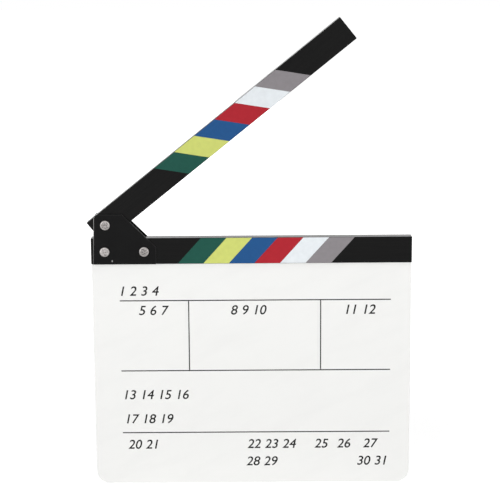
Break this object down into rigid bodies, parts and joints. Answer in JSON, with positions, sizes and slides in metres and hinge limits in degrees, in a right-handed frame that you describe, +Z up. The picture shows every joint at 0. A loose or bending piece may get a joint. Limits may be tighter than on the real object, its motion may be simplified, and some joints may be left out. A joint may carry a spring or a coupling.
{
  "type": "clapperboard",
  "caption": "Film clapperboard: a white writing board under a black stick, with a hinged clapper arm that swings down onto it and slanting colour stripes on both sticks.",
  "frame": {"origin": "middle of the board's bottom edge, halfway through its thickness", "axes": "+Z up along the board, +X to the right as seen from the front, front face towards -Y"},
  "size_m": [0.3034, 0.0158, 0.4458],
  "materials": {
    "white_acrylic": "smooth white acrylic sheet with a low gloss",
    "black_wood": "satin black paint over fine-grained wood",
    "black_plate": "satin black powder coat on sheet steel",
    "bright_steel": "turned, nickel-plated steel",
    "pale_nylon": "pale nylon sheet",
    "black_ink": "printed ink lines and numbers, matte",
    "green_foil": "printed vinyl, satin",
    "yellow_foil": "printed vinyl, satin",
    "blue_foil": "printed vinyl, satin",
    "red_foil": "printed vinyl, satin",
    "white_foil": "printed vinyl, satin",
    "grey_foil": "printed vinyl, satin"
  },
  "bodies": {
    "slate": {"slate_board": "white_acrylic", "lower_stick": "black_wood", "front_hinge_plate": "black_plate", "rear_hinge_plate": "black_plate", "pivot_post": "bright_steel", "left_plate_post": "bright_steel", "right_plate_post": "bright_steel", "pivot_screw": "bright_steel", "left_plate_screw": "bright_steel", "right_plate_screw": "bright_steel", "front_friction_washer": "pale_nylon", "rear_friction_washer": "pale_nylon", "board_screw_1": "bright_steel", "board_screw_2": "bright_steel", "board_screw_3": "bright_steel", "board_screw_4": "bright_steel", "lower_stripe_green": "green_foil", "lower_stripe_yellow": "yellow_foil", "lower_stripe_blue": "blue_foil", "lower_stripe_red": "red_foil", "lower_stripe_white": "white_foil", "lower_stripe_grey": "grey_foil"},
    "clapper": {"upper_stick": "black_wood", "upper_stripe_green": "green_foil", "upper_stripe_yellow": "yellow_foil", "upper_stripe_blue": "blue_foil", "upper_stripe_red": "red_foil", "upper_stripe_white": "white_foil", "upper_stripe_grey": "grey_foil"}
  },
  "joints": [
    {"name": "clapper_hinge", "type": "hinge", "parent": "slate", "child": "clapper", "pos_m": [-0.1362, 0, 0.2549], "axis": [0, -1, 0], "range_deg": [-38.8, 51.2]}
  ]
}
